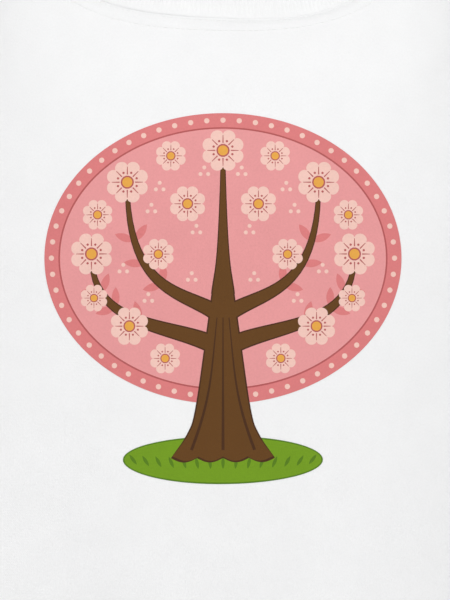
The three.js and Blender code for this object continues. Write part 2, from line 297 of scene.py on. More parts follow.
def cubic_weights(count, places):
    """Weights of a smooth curve through count points, read at fractional places along them."""
    weights = np.zeros((len(places), count))
    for row, place in enumerate(places):
        k = min(int(place), count - 2)
        t = place - k
        shares = (
            (-t + 2 * t**2 - t**3) / 2,
            (2 - 5 * t**2 + 3 * t**3) / 2,
            (t + 4 * t**2 - 3 * t**3) / 2,
            (t**3 - t**2) / 2,
        )
        for index, share in zip(range(k - 1, k + 3), shares):
            if 0 <= index < count:
                weights[row, index] += share
            else:
                edge, inner = (0, 1) if index < 0 else (count - 1, count - 2)
                weights[row, edge] += 2 * share
                weights[row, inner] -= share
    return weights


def read_curve(points, places):
    """A smooth curve through points, read at fractional places along them."""
    return cubic_weights(len(points), places) @ points


def girth_at(z, size):
    """One size of the girth at a height, on a smooth curve through the stated ones."""
    knots = [(height, sizes[size]) for height, sizes in GIRTHS.items()]
    places = [k + t for k in range(1, len(knots)) for t in np.linspace(0, 1, CURVE_POINTS)]
    track = read_curve(np.array([knots[0], *knots, knots[-1]]), places)[::-1]
    return float(np.interp(z, track[:, 0], track[:, 1]))


def girth_row(z, side):
    sin, cos = half_turn()
    half, deep = girth_at(z, 0), girth_at(z, 1 if side == FRONT else 2)
    x = half * signed_power(sin, 2 / GIRTH_POWER)
    y = side * deep * cos ** (2 / GIRTH_POWER)
    y[[0, -1]] = 0
    return spaced(np.stack([x, y, np.full_like(x, z)], axis=1), COLUMNS)


def top_row(side):
    """A shoulder seam, the collar seam and the other shoulder seam."""
    collar = COLLAR[side]
    sin, cos = half_turn()
    down = cos ** collar["fall"]
    down[[0, -1]] = 0
    x = COLLAR_HALF * signed_power(sin, 2 / collar["power"])
    y = SHOULDER[1] + (collar["low"][1] - SHOULDER[1]) * down ** (1 / collar["crest"])
    row = spaced(np.stack([x, y, collar["low"][2] * down], axis=1), COLLAR_COLUMNS)
    right = spaced([row[-1], SHOULDER], SHOULDER_COLUMNS)[1:]
    left = (right * [-1, 1, 1])[::-1]
    return np.vstack([left, row, right])


def armhole(armpit, side, t):
    sign = np.sign(armpit[0])
    top = SHOULDER * [sign, 1, 1]
    under = armpit + [-sign * ARMHOLE["in"], side * ARMHOLE["reach"], ARMHOLE["up"]]
    over = top + [-sign * ARMHOLE["over_in"], side * ARMHOLE["reach"], -ARMHOLE["over_down"]]
    return bezier(armpit, under, over, top, t)


def cut_body(side):
    """One panel of the body as rows of points from the hem to the shoulders."""
    heights = np.linspace(HEM_Z, ARMPIT_Z, BODY_ROWS + 1)
    low = np.array([girth_row(z, side) for z in heights])
    bottom, top = low[-1], top_row(side)
    t = np.linspace(0, 1, YOKE_ROWS + 1)
    columns = []
    for start, end in zip(bottom, top):
        past = (abs(end[0]) - COLLAR_HALF) / (SHOULDER[0] - COLLAR_HALF)
        share = past if past > 0 else end[2] / COLLAR[side]["low"][2]
        goal = TOP_HANDLE["shoulder"] if past > 0 else TOP_HANDLE[side]
        pull = (TOP_HANDLE["corner"] * (1 - share) + goal * share) * [np.sign(end[0]), -side, 1]
        rise = np.array([0, 0, SIDE_HANDLE * (end[2] - start[2])])
        columns.append(bezier(start, start + rise, end - pull, end, t))
    columns = np.array(columns)
    across = np.abs(np.linspace(-1, 1, COLUMNS + 1)) ** 3
    shifts = [armhole(bottom[k], side, t) - columns[k] for k in (0, COLUMNS)]
    yoke = np.array([
        column + shifts[0 if i < COLUMNS / 2 else 1] * across[i] for i, column in enumerate(columns)
    ])
    return np.concatenate([low[:-1], yoke.transpose(1, 0, 2)])


def cut_sleeve(front, back, sign):
    """A sleeve as rings of points from the armhole out. Each ring starts and ends under the arm."""
    column = COLUMNS if sign == LEFT else 0
    up_front = front[-YOKE_ROWS - 1 :, column]
    down_back = back[-YOKE_ROWS - 1 :, column][::-1]
    start = np.concatenate([up_front, down_back[1:]])
    middle = (SLEEVE_TOP + SLEEVE_UNDER) / 2
    up = SLEEVE_TOP - middle
    outward = np.array([sign * up[2], 0, -up[0]]) / np.linalg.norm(up)
    lines = []
    for k, point in enumerate(start):
        angle = math.pi * (k / YOKE_ROWS - 1)
        end = middle + up * math.cos(angle)
        end = np.array([sign * end[0], SLEEVE_HALF_DEEP * math.sin(angle), end[2]])
        share = (1 - math.cos(angle)) / 2
        leaves = SLEEVE_LEAVES["top"] * (1 - share) + SLEEVE_LEAVES["under"] * share
        third = np.linalg.norm(point - end) / 3
        first = point + leaves * [sign, 1, 1] * third
        curve = bezier(point, first, end - outward * third, end, np.linspace(0, 1, CURVE_POINTS))
        lines.append(spaced(curve, SLEEVE_ROWS))
    return np.array(lines).transpose(1, 0, 2)


def unit(vectors):
    return vectors / np.maximum(np.linalg.norm(vectors, axis=-1, keepdims=True), 1e-12)


def smooth_step(low, high, values):
    t = np.clip((np.asarray(values, float) - low) / (high - low), 0, 1)
    return t * t * (3 - 2 * t)


# Meshes.


def grid_faces(index, flip=False):
    """Quads on a grid of vertex numbers."""
    a, b, c, d = index[:-1, :-1], index[:-1, 1:], index[1:, 1:], index[1:, :-1]
    quads = np.stack([a, b, c, d], axis=-1).reshape(-1, 4)
    return quads[:, ::-1] if flip else quads


def grid_index(grid, start=0):
    """Numbers for a grid's points, row by row."""
    return start + np.arange(grid[..., 0].size).reshape(grid.shape[:2])


def make_object(name, points, faces, uvs=None):
    mesh = bpy.data.meshes.new(name)
    mesh.from_pydata(np.asarray(points).tolist(), [], [list(map(int, face)) for face in faces])
    if uvs is not None:
        layer = mesh.uv_layers.new(name="Cloth")
        corners = np.empty(len(mesh.loops), int)
        mesh.loops.foreach_get("vertex_index", corners)
        layer.data.foreach_set("uv", np.asarray(uvs, float)[corners].ravel())
    mesh.validate()
    mesh.shade_smooth()
    obj = bpy.data.objects.new(name, mesh)
    bpy.context.collection.objects.link(obj)
    return obj


def dress(obj, material, slot, nodes=()):
    """Gives a piece its material and its body, and hides the solids that it replaces. Its slot is not
    used.
    """
    obj.data.materials.append(material)
    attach(obj, BODY)
    if nodes:
        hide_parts(*nodes)
    return obj


def points_of(obj):
    points = np.empty(len(obj.data.vertices) * 3)
    obj.data.vertices.foreach_get("co", points)
    return points.reshape(-1, 3)


# Draping.


class Weld:
    """Numbers grid points so that panels share those on their seams."""

    def __init__(self):
        self.numbers = {}
        self.points = []

    def index(self, grid):
        flat = []
        for point in grid.reshape(-1, 3):
            key = tuple(np.round(point / WELD_STEP).astype(int))
            if key not in self.numbers:
                self.numbers[key] = len(self.points)
                self.points.append(point)
            flat.append(self.numbers[key])
        return np.array(flat).reshape(grid.shape[:2])


def slow_waves(points, rng, shortest, longest):
    """Slanting waves through the cloth, about one high, that keep the two sides from folding alike."""
    waves = np.zeros(len(points))
    for _ in range(WAVE_COUNT):
        facing = unit(rng.normal(size=3) * WAVE_FACING)
        turns = points @ facing * 2 * math.pi / rng.uniform(shortest, longest)
        waves += np.cos(turns + rng.uniform(0, 2 * math.pi))
    return waves / 2


def torso_ease(points, normals, sleeve):
    """How far inside the cloth the hidden torso lies."""
    low = smooth_step(*REACHES["hips"], points[:, 2])
    side = np.abs(normals[:, 0])
    trunk = EASE["all"] + side * (EASE["side"] + EASE["side_low"] * low) + EASE["low"] * low
    arm = EASE["all"] + EASE["under_arm"] * (1 - normals[:, 2])
    return np.where(sleeve, arm, trunk)


def turned(points, pivot, degrees, share, axes):
    """Points turned about a pivot in the plane of two axes, each by its own share of the angle."""
    a, b = axes
    angle = np.radians(degrees) * share
    off = points - pivot
    result = off.copy()
    result[:, a] = off[:, a] * np.cos(angle) + off[:, b] * np.sin(angle)
    result[:, b] = off[:, b] * np.cos(angle) - off[:, a] * np.sin(angle)
    return pivot + result


def moved_torso(points, look):
    """The torso with its arms lowered, and twisted and bent sideways at the waist."""
    x, _, z = points.T
    waist = smooth_step(*REACHES["waist"], z)
    points = turned(points, np.zeros(3), look.twist, waist, (0, 1))
    points[:, 0] += look.side_step * waist
    sign = np.sign(x)
    pivot = np.stack([sign * ARM_PIVOT[0], 0 * x, 0 * x + ARM_PIVOT[1]], axis=1)
    arm = smooth_step(*REACHES["arm_out"], np.abs(x)) * smooth_step(*REACHES["arm_up"], z)
    return turned(points, pivot, look.arm_swing, arm * sign, (0, 2))


def relax(moved, edges, weights, rounds):
    """Evens out the moves of neighbouring points, as an iron does, by each point's weight."""
    count = np.bincount(edges.ravel(), minlength=len(moved))[:, None]
    for _ in range(rounds):
        total = np.zeros_like(moved)
        np.add.at(total, edges[:, 0], moved[edges[:, 1]])
        np.add.at(total, edges[:, 1], moved[edges[:, 0]])
        moved = moved + weights[:, None] * 0.5 * (total / count - moved)
    return moved


def torso_form(points, faces, look):
    """The hidden torso. It moves away and most of the way back, which lets folds form."""
    form = make_object("drape_form", points, faces)
    form.shape_key_add(name="still")
    away = form.shape_key_add(name="away")
    away.data.foreach_set("co", moved_torso(points_of(form), look).ravel())
    for share, value in TORSO_MOVES:
        away.value = value
        away.keyframe_insert("value", frame=1 + share * look.frames)
    form.modifiers.new("Collision", "COLLISION")
    form.collision.thickness_outer = CLOTH_GAP
    form.collision.cloth_friction = FRICTION
    return form


def hang(cloth, look):
    """Lets the cloth fall over the torso, and returns its points."""
    modifier = cloth.modifiers.new("Cloth", "CLOTH")
    for name, value in CLOTH.items():
        setattr(modifier.settings, name, value)
    modifier.settings.bending_stiffness = look.bending
    modifier.settings.shrink_min = -look.slack
    modifier.settings.shrink_max = -CHEST_SLACK
    modifier.collision_settings.distance_min = CLOTH_GAP
    modifier.collision_settings.collision_quality = 3
    modifier.collision_settings.use_self_collision = False
    modifier.point_cache.frame_end = look.frames
    scene = bpy.context.scene
    for step in range(1, look.frames + 1):
        scene.frame_set(step)
    hung = points_of(cloth.evaluated_get(bpy.context.evaluated_depsgraph_get()))
    scene.frame_set(1)
    return hung


def drape(cut, look):
    """Drapes the welded shirt over the hidden torso, and returns each panel's grid as it hangs."""
    rng = np.random.default_rng(11)
    weld = Weld()
    index = {name: weld.index(grid) for name, grid in cut.items()}
    faces = np.concatenate([grid_faces(index[name], PANELS[name]["outward"] < 0) for name in cut])
    rest = np.array(weld.points)
    cloth = make_object("drape_cloth", rest, faces)
    normals = np.array([vertex.vector for vertex in cloth.data.vertex_normals])
    sleeve = np.zeros(len(rest), bool)
    for name in ("left", "right"):
        sleeve[index[name][1:]] = True
    low = smooth_step(*REACHES["loose"], rest[:, 2])
    uneven = look.uneven * np.where(sleeve, CALM["sleeve"], blend(CALM["chest"], 1, low))
    ease = torso_ease(rest, normals, sleeve) + FORM_UNEVEN * uneven * slow_waves(rest, rng, *FORM_WAVES)
    form = torso_form(rest - normals * ease[:, None], faces, look)
    start = rest + normals * (uneven * slow_waves(rest, rng, *CLOTH_WAVES))[:, None]
    cloth.data.vertices.foreach_set("co", start.ravel())
    cloth.data.update()

    pinned = np.unique(np.concatenate([index[name][-1, COLLAR_SEAM] for name in ("front", "back")]))
    cloth.vertex_groups.new(name="pin").add(pinned.tolist(), 1.0, "REPLACE")
    taut = cloth.vertex_groups.new(name="taut")
    chest = smooth_step(*REACHES["taut"], rest[:, 2]) * np.where(sleeve, SLEEVE_TAUT, 1)
    for number, weight in enumerate(chest):
        taut.add([number], float(weight), "REPLACE")
    moved = hang(cloth, look) - rest
    edges = np.array([edge.vertices[:] for edge in cloth.data.edges])
    for obj in (cloth, form):
        mesh = obj.data
        bpy.data.objects.remove(obj)
        bpy.data.meshes.remove(mesh)

    free = np.ones(len(rest))
    free[pinned] = 0
    moved = relax(moved, edges, free, look.even)
    printed = (normals[:, 1] < 0) * smooth_step(*REACHES["print_in"], np.abs(rest[:, 0]))
    printed = printed * smooth_step(*REACHES["print_up"], rest[:, 2])
    moved = relax(moved, edges, free * printed, PRINT_ROUNDS)
    for name, row in (("front", 0), ("back", 0), ("left", -1), ("right", -1)):
        free[index[name][row]] = 0
    hung = relax(rest + moved, edges, free, look.even)
    return {name: hung[numbers] for name, numbers in index.items()}


# A panel: a draped grid, refined, with its seams and hem.

FINER = 3  # how many cells each cell of the draped grid is cut into
SEAM_STEPS = (0, 0.0007, 0.0015, 0.0025, 0.004, 0.007)  # rows that follow a seam
COLLAR_STEPS = (0, 0.0014, 0.0035, 0.0056, 0.0097, 0.0125)
HEM_STEPS = (0, 0.0006, 0.0014, 0.004, 0.008, 0.012)
PAST_HEM_STEPS = (0.0008, 0.0022, 0.005)
SEAM_ROLL = 0.0065  # the cloth turns in to a seam over this width
SEAM_SINK = 0.0011
ROW_SET_BACK = 0.0025  # from a folded edge or a seam to the nearest row of stitches
DENT_HALF = 0.0020
DENT_DEEP = 0.0003  # how far a row of stitches pulls the cloth in
HEM_RISE = 0.0005
COLLAR_RISE = 0.0004
BAND_EDGE = (-0.0005, 0.0018)  # where a band's rise runs out, from its inner edge
HEM_FOLD = 0.0010  # how far the turned part of a hem stands inside
FOLD_EDGE = (-0.0002, 0.0006)
NEAR_TOP = 0.03


def stitch_rows(needle_gap):
    return (ROW_SET_BACK, ROW_SET_BACK + needle_gap)


def dent_steps(places):
    return [place + shift for place in places for shift in (-DENT_HALF, 0, DENT_HALF)]


def fine_places(count, factor, start_cell, end_cell, start_steps, end_steps):
    """Fractional places along count points: even ones, with closer ones near each end."""
    even = np.linspace(0, count - 1, (count - 1) * factor + 1)
    start = np.sort(start_steps) / start_cell
    end = count - 1 - np.sort(end_steps)[::-1] / end_cell
    clear = 0.2 / factor
    inner = even[(even > start.max() + clear) & (even < end.min() - clear)]
    return np.concatenate([start, inner, end])


def fine_weights(cut, axis, start_steps, end_steps):
    """Weights that make a grid finer along one axis, and finest near its ends."""
    cells = np.linalg.norm(np.diff(cut, axis=axis), axis=2).mean(axis=1 - axis)
    count = cut.shape[axis]
    return cubic_weights(count, fine_places(count, FINER, cells[0], cells[-1], start_steps, end_steps))


def far_from_edge(grid, axis, from_end=False):
    """How far each point of a grid is from one of its edges, along the cloth."""
    grid = np.flip(grid, axis) if from_end else grid
    steps = np.linalg.norm(np.diff(grid, axis=axis, prepend=np.take(grid, [0], axis)), axis=2)
    far = np.cumsum(steps, axis=axis)
    return np.flip(far, axis) if from_end else far


def within(far, deep, edge):
    """1 inside a band along an edge of the cloth, and 0 past it."""
    return 1 - smooth_step(deep + edge[0], deep + edge[1], far)


class Panel:
    """A panel of cloth as it hangs, with a fine grid of points, directions and flat places."""

    def __init__(self, cut, hung, outward, hem_at_end, hem_deep, sizes):
        self.hem_at_end = hem_at_end
        self.hem_deep = hem_deep
        self.thick = sizes.jersey_thick
        self.flip = outward < 0
        self.rows = stitch_rows(sizes.needle_gap)
        past_hem = [hem_deep + step for step in PAST_HEM_STEPS]
        hem_steps = [*HEM_STEPS, *dent_steps(self.hem_rows()), *past_hem]
        top_steps = SEAM_STEPS if hem_at_end else [*COLLAR_STEPS, *dent_steps(self.rows)]
        down = fine_weights(cut, 0, *((top_steps, hem_steps) if hem_at_end else (hem_steps, top_steps)))
        over = fine_weights(cut, 1, SEAM_STEPS, SEAM_STEPS)
        self.points, flat = [np.einsum("ri,ijk,cj->rck", down, grid, over) for grid in (hung, cut)]
        along, up = np.gradient(self.points, axis=1), np.gradient(self.points, axis=0)
        self.normals = outward * unit(np.cross(along, up))
        across = far_from_edge(flat, 1)
        self.flat = np.stack([across - across[:, -1:] / 2, far_from_edge(flat, 0)], axis=-1)
        self.from_hem = far_from_edge(self.points, 0, hem_at_end)
        self.from_top = far_from_edge(self.points, 0, not hem_at_end)
        self.from_side = np.minimum(far_from_edge(self.points, 1), far_from_edge(self.points, 1, True))
        self.from_collar = np.full(self.from_top.shape, np.inf)
        self.rolled = self.sink_seams()

    def hem_rows(self):
        return [self.hem_deep - row for row in self.rows]

    def measure_collar(self, ring):
        """How far each point near the top is from the collar seam."""
        near = self.from_top < NEAR_TOP
        gaps = self.points[near][:, None] - ring[None, ::2]
        self.from_collar[near] = np.linalg.norm(gaps, axis=2).min(axis=1)

    def sink_seams(self):
        near = np.minimum(self.from_side, self.from_top)
        sink = SEAM_SINK * np.clip(1 - near / SEAM_ROLL, 0, 1) ** 2
        return self.points - self.normals * sink[..., None]

    def band(self, far, deep, places, rise):
        """How far a stitched band stands out, with a dent along each row of stitches."""
        bulge = rise * within(far, deep, BAND_EDGE)
        for place in places:
            bulge -= DENT_DEEP * np.exp(-(((far - place) / (0.8 * DENT_HALF)) ** 2))
        return bulge

    def surface(self):
        """The outside of the cloth, with its stitched bands."""
        out = self.thick / 2 + self.band(self.from_hem, self.hem_deep, self.hem_rows(), HEM_RISE)
        if not self.hem_at_end:
            out = out + self.band(self.from_collar, self.rows[1], self.rows, COLLAR_RISE)
        return self.rolled + self.normals * out[..., None]

    def hem_path(self, at):
        """Where a row of stitches runs along the hem, and which way is out."""
        step = -1 if self.hem_at_end else 1
        far = self.from_hem[::step]
        places, normals = [read_columns(grid[::step], far, at) for grid in (self.surface(), self.normals)]
        return places, unit(normals)

    def shell(self, name):
        """A closed mesh with the cloth's thickness, a turned hem and a rounded edge."""
        edge, next_row = (-1, -2) if self.hem_at_end else (0, 1)
        fold = HEM_FOLD * within(self.from_hem, self.hem_deep, FOLD_EDGE)
        outer = self.surface()
        inner = self.rolled - self.normals * (self.thick / 2 + fold)[..., None]
        out = unit(self.points[edge] - self.points[next_row])
        half = np.linalg.norm(outer[edge] - inner[edge], axis=1)[:, None] / 2
        bulge = (outer[edge] + inner[edge]) / 2 + out * half
        front = grid_index(outer)
        back = grid_index(inner, front.size)
        start, end = [back[0], front[0]], [front[-1], back[-1]]
        (end if self.hem_at_end else start).insert(1, 2 * front.size + np.arange(front.shape[1]))
        sides = [back[:, 0], front[:, 0]], [front[:, -1], back[:, -1]]
        strips = [np.stack(start), np.stack(end), *(np.stack(side, axis=1) for side in sides)]
        faces = [grid_faces(front, self.flip), grid_faces(back, not self.flip)]
        faces += [grid_faces(strip, self.flip) for strip in strips]
        points = np.vstack([outer.reshape(-1, 3), inner.reshape(-1, 3), bulge])
        flat = self.flat.reshape(-1, 2)
        return make_object(name, points, np.concatenate(faces), np.vstack([flat, flat, self.flat[edge]]))


# Materials.

WALE, COURSE = 0.0010, 0.0008  # from one column of loops to the next, and from row to row
TAPE_RIB = 0.0011
FUZZ, CLOUD, TWIST = 900, 45, 2500  # how fine the mottling is: more is finer
TAPE_FOLD = 0.0025
FLOOR_SHADES = (0.78, 0.82)


class NodeTree:
    """A short way to wire a material's nodes. place is the kind of coordinates that they read."""

    def __init__(self, name, place):
        self.material = bpy.data.materials.new(name)
        self.material.use_nodes = True
        self.nodes = self.material.node_tree.nodes
        self.links = self.material.node_tree.links
        self.shader = self.nodes["Principled BSDF"]
        self.place = self.node("ShaderNodeTexCoord").outputs[place]

    def node(self, kind, inputs=None, **settings):
        made = self.nodes.new(kind)
        for key, value in settings.items():
            setattr(made, key, value)
        self.put(made, inputs or {})
        return made

    def put(self, node, inputs):
        for key, value in inputs.items():
            if isinstance(value, bpy.types.NodeSocket):
                self.links.new(value, node.inputs[key])
            else:
                node.inputs[key].default_value = value

    def shade(self, colour, rough, **sockets):
        """Sets the shader. The words of a socket's name are joined by underlines."""
        self.put(self.shader, {"Base Color": colour, "Roughness": rough})
        self.put(self.shader, {key.replace("_", " "): value for key, value in sockets.items()})

    def math(self, operation, *values):
        return self.node("ShaderNodeMath", dict(enumerate(values)), operation=operation).outputs[0]

    def wave(self, phase):
        """A sine wave between 0 and 1."""
        return self.math("MULTIPLY_ADD", self.math("SINE", phase), 0.5, 0.5)

    def noise(self, scale, detail):
        inputs = {"Vector": self.place, "Scale": scale, "Detail": detail}
        return self.node("ShaderNodeTexNoise", inputs).outputs["Fac"]

    def mix(self, fac, a, b):
        return self.node("ShaderNodeMix", {0: fac, 6: a, 7: b}, data_type="RGBA").outputs[2]

    def bump(self, height, strength, distance, **under):
        inputs = {"Strength": strength, "Distance": distance, "Height": height, **under}
        return self.node("ShaderNodeBump", inputs).outputs[0]


def rgba(colour, shade=1.0):
    return (*[min(1, channel * shade) for channel in colour], 1)


def knit_height(tree):
    """The face of single jersey: columns of small V stitches. 0 is low and 1 is high."""
    parts = tree.node("ShaderNodeSeparateXYZ", {0: tree.place}).outputs
    across = tree.math("DIVIDE", parts["X"], WALE)
    along = tree.math("DIVIDE", parts["Y"], COURSE)
    leg = tree.math("ABSOLUTE", tree.math("SUBTRACT", tree.math("FRACT", across), 0.5))
    slant = tree.math("MULTIPLY", leg, 1.6)
    loop = tree.wave(tree.math("MULTIPLY", tree.math("ADD", along, slant), 2 * math.pi))
    groove = tree.math("ABSOLUTE", tree.math("SINE", tree.math("MULTIPLY", leg, 2 * math.pi)))
    return tree.math("MULTIPLY_ADD", groove, 0.6, tree.math("MULTIPLY", loop, 0.4))


def jersey_material(name, colour, rough=0.88, knit=0.35, sheen=0.25, grain=0.06):
    """Matt knitted cotton, or ink in it: knit relief, a little fuzz, and slight mottling."""
    tree = NodeTree(name, "UV")
    fuzz = tree.noise(FUZZ, 3)
    cloud = tree.noise(CLOUD, 2)
    loops = tree.bump(knit_height(tree), knit, 0.0003)
    shade = tree.math("ADD", tree.math("MULTIPLY", fuzz, 0.6), tree.math("MULTIPLY", cloud, 0.4))
    tree.shade(
        tree.mix(shade, rgba(colour, 1 - grain), rgba(colour, 1 + grain)),
        tree.math("MULTIPLY_ADD", fuzz, 0.1, rough - 0.05),
        Sheen_Weight=sheen,
        Sheen_Roughness=0.5,
        Specular_IOR_Level=0.25,
        Normal=tree.bump(fuzz, 0.25, 0.0004, Normal=loops),
    )
    return tree.material


def thread_material(name, colour):
    """Spun thread, twisted along its length."""
    tree = NodeTree(name, "Object")
    twist = tree.noise(TWIST, 1)
    shade = tree.mix(twist, rgba(colour, 0.9), rgba(colour, 1.05))
    tree.shade(shade, 0.6, Sheen_Weight=0.2, Normal=tree.bump(twist, 0.4, 0.0001))
    return tree.material


def tape_material(name, colour):
    """Narrow herringbone tape: slanting ribs that turn back along its middle, with painted shade that
    darkens the grooves between them.
    """
    tree = NodeTree(name, "UV")
    parts = tree.node("ShaderNodeSeparateXYZ", {0: tree.place}).outputs
    slant = tree.math("ADD", parts["X"], tree.math("PINGPONG", parts["Y"], TAPE_FOLD))
    rib = tree.wave(tree.math("MULTIPLY", slant, 2 * math.pi / TAPE_RIB))
    # Painted shade: the tape's colour is darker in the grooves between its ribs, where the bump is low.
    shade = tree.mix(rib, rgba(colour, 0.9), rgba(colour, 1.02))
    tree.shade(shade, 0.75, Normal=tree.bump(rib, 0.6, 0.0003))
    return tree.material


def floor_material(name):
    tree = NodeTree(name, "Object")
    dark, light = [(shade, shade, shade, 1) for shade in FLOOR_SHADES]
    tree.shade(tree.mix(tree.noise(3, 3), dark, light), 0.7)
    return tree.material


# The collar seam, the rib band and the stitches.

RING_FINER = 12
RIB_PITCH = 0.0021
RIB_POINTS = 5  # points along the ring for each rib
RIB_LEAN = {"middle": 0.42, "more": 0.40}  # how far it leans in, and how much more at the shoulders
RIB_RELIEF = 0.00018
RIB_FACE = (  # up the outer face: the height, and how far out in half thicknesses
    (-0.0014, -0.2), (0.0, 0.24), (0.0015, 0.54), (0.003, 0.79), (0.0045, 0.97), (0.006, 1.09),
    (0.009, 1.16), (0.012, 1.16), (0.016, 1.1),
)
RIB_FOLD = ((0.0012, 1.0), (0.0003, 0.7), (0, 0.0))  # the same over the fold, down from its top
ALLOWANCE = {"high": 0.004, "out": -1.1}  # where the inner face lies over the seam's raw edges
TAPE_INSIDE = 0.0010  # from the middle of the cloth to the tape
TAPE_THICK = 0.0007
STITCH_RING = 520  # points round the collar for its rows of stitches
IN_NECK = (0, NECK_CENTRE_Y, 0.05)  # a point over the opening, to tell in from out
STITCH_SIDES = 6
STITCH_LONG = 0.86  # a stitch's share of the pitch
STITCH_ARCH = {"rise": 0.55, "fall": 2.2}  # its middle off the cloth, and its ends down, in radii
STITCH_SHAPE = ((-0.5, 0.25), (-0.36, 0.9), (0, 1.0), (0.36, 0.9), (0.5, 0.25))  # along, and how thick


def seam_ring(front, back):
    """The collar seam as a closed ring of draped points: front from left to right, then the back."""
    ring = np.concatenate([front[-1, COLLAR_SEAM][:-1], back[-1, COLLAR_SEAM][::-1][:-1]])
    return smooth_ring(ring, RING_FINER)


def smooth_ring(ring, factor):
    looped = np.concatenate([ring[-2:], ring, ring[:3]])
    return read_curve(looped, np.arange(2, len(ring) + 2, 1 / factor))


def even_ring(ring, count):
    return spaced(closed(ring), count)[:-1]


def ring_ahead(ring):
    """The direction along a closed ring at each of its points."""
    return unit(np.roll(ring, -1, axis=0) - np.roll(ring, 1, axis=0))


def rib_track(high):
    """Round the rib band's cross-section: the height, and how far out in half thicknesses."""
    outer = [*RIB_FACE, *((high - down, out) for down, out in RIB_FOLD)]
    inner = [(up, -out if up > ALLOWANCE["high"] else ALLOWANCE["out"]) for up, out in outer[:-1]]
    return outer + inner[::-1]


class Skin:
    """The outside of the draped shirt, to lay things on."""

    def __init__(self, panels):
        surfaces = [panel.surface() for panel in panels]
        starts = np.cumsum([0, *(panel.from_top.size for panel in panels)])
        self.points = np.vstack([surface.reshape(-1, 3) for surface in surfaces])
        self.normals = np.vstack([panel.normals.reshape(-1, 3) for panel in panels])
        self.faces = np.concatenate([
            grid_faces(grid_index(surface, start), panel.flip)
            for panel, surface, start in zip(panels, surfaces, starts)
        ])
        self.tree = BVHTree.FromPolygons(self.points.tolist(), self.faces.tolist())

    def smooth(self, place, face):
        """The cloth's direction at a place on one of its faces."""
        corners = self.faces[face]
        shares = poly_3d_calc([Vector(point) for point in self.points[corners]], place)
        return unit(np.array(shares) @ self.normals[corners])

    def nearest(self, points):
        found = [self.tree.find_nearest(Vector(point)) for point in points]
        places = np.array([place for place, _, _, _ in found])
        return places, np.array([self.smooth(place, face) for place, _, face, _ in found])

    def ahead(self, x, z):
        """The point on the front of the shirt at x and z."""
        place, _, face, _ = self.tree.ray_cast(Vector((x, -0.5, z)), Vector((0, 1, 0)))
        return np.array(place), self.smooth(place, face)


def stitch_mesh(name, paths, pitch, radius):
    """Rows of sewn stitches as small rounded grains along each path."""
    turn = circle(STITCH_SIDES)
    points, faces = [], []
    for places, normals in paths:
        along = lengths_along(places)
        count = max(2, round(along[-1] / pitch))
        middles = (np.arange(count) + 0.5) * along[-1] / count
        before, centre, after = [
            read_at(middles + step, along, places) for step in (-pitch / 4, 0, pitch / 4)
        ]
        up = unit(read_at(middles, along, normals))
        ahead = unit(after - before)
        side = unit(np.cross(up, ahead))
        for c, u, a, s in zip(centre, up, ahead, side):
            rings = len(points) + np.arange(len(STITCH_SHAPE) * STITCH_SIDES).reshape(-1, STITCH_SIDES)
            for share, wide in STITCH_SHAPE:
                rise = radius * (STITCH_ARCH["rise"] - STITCH_ARCH["fall"] * share**2)
                spine = c + a * share * pitch * STITCH_LONG + u * rise
                points.extend(spine + (s * x + u * y) * radius * wide for x, y in turn)
            faces.extend(grid_faces(np.hstack([rings, rings[:, :1]])).tolist())
            faces.extend([rings[0][::-1].tolist(), rings[-1].tolist()])
    return make_object(name, points, faces)


# Operators.

shirt = {}  # what one operator leaves for the next: the collar's ring, the panels and the skin


class SHIRT_OT_drape(bpy.types.Operator):
    """Cut the panels and drape them over the hidden torso"""

    bl_idname = "shirt.drape"
    bl_label = "Drape the cloth"

    def execute(self, context):
        front, back = cut_body(FRONT), cut_body(BACK)
        left, right = [cut_sleeve(front, back, side) for side in (LEFT, RIGHT)]
        cut = {"front": front, "back": back, "left": left, "right": right}
        hung = drape(cut, context.scene.shirt_drape)
        sizes = context.scene.shirt_cut
        shirt["ring"] = seam_ring(hung["front"], hung["back"])
        for name, facts in PANELS.items():
            deep = sizes.sleeve_hem_deep if facts["sleeve"] else sizes.hem_deep
            panel = Panel(cut[name], hung[name], facts["outward"], facts["sleeve"], deep, sizes)
            if not facts["sleeve"]:
                panel.measure_collar(shirt["ring"])
            shirt[name] = panel
        shirt["skin"] = Skin([shirt[name] for name in PANELS])
        return {"FINISHED"}


class SHIRT_OT_panels(bpy.types.Operator):
    """Make the front, the back and the sleeves"""

    bl_idname = "shirt.panels"
    bl_label = "Panels and sleeves"

    def execute(self, context):
        jersey = jersey_material("white_jersey", context.scene.shirt_colours.jersey)
        for name, node, flat, area in (
            ("front", "front_panel", (0.555, 0.735), 0.345),
            ("back", "back_panel", (0.546, 0.750), 0.352),
            ("left", "left_sleeve", (0.45, 0.21), 0.064),
            ("right", "right_sleeve", (0.45, 0.21), 0.064),
        ):
            piece = shirt[name].shell(f"jersey_{node}")
            dress(piece, jersey, "jersey", [node])
        return {"FINISHED"}


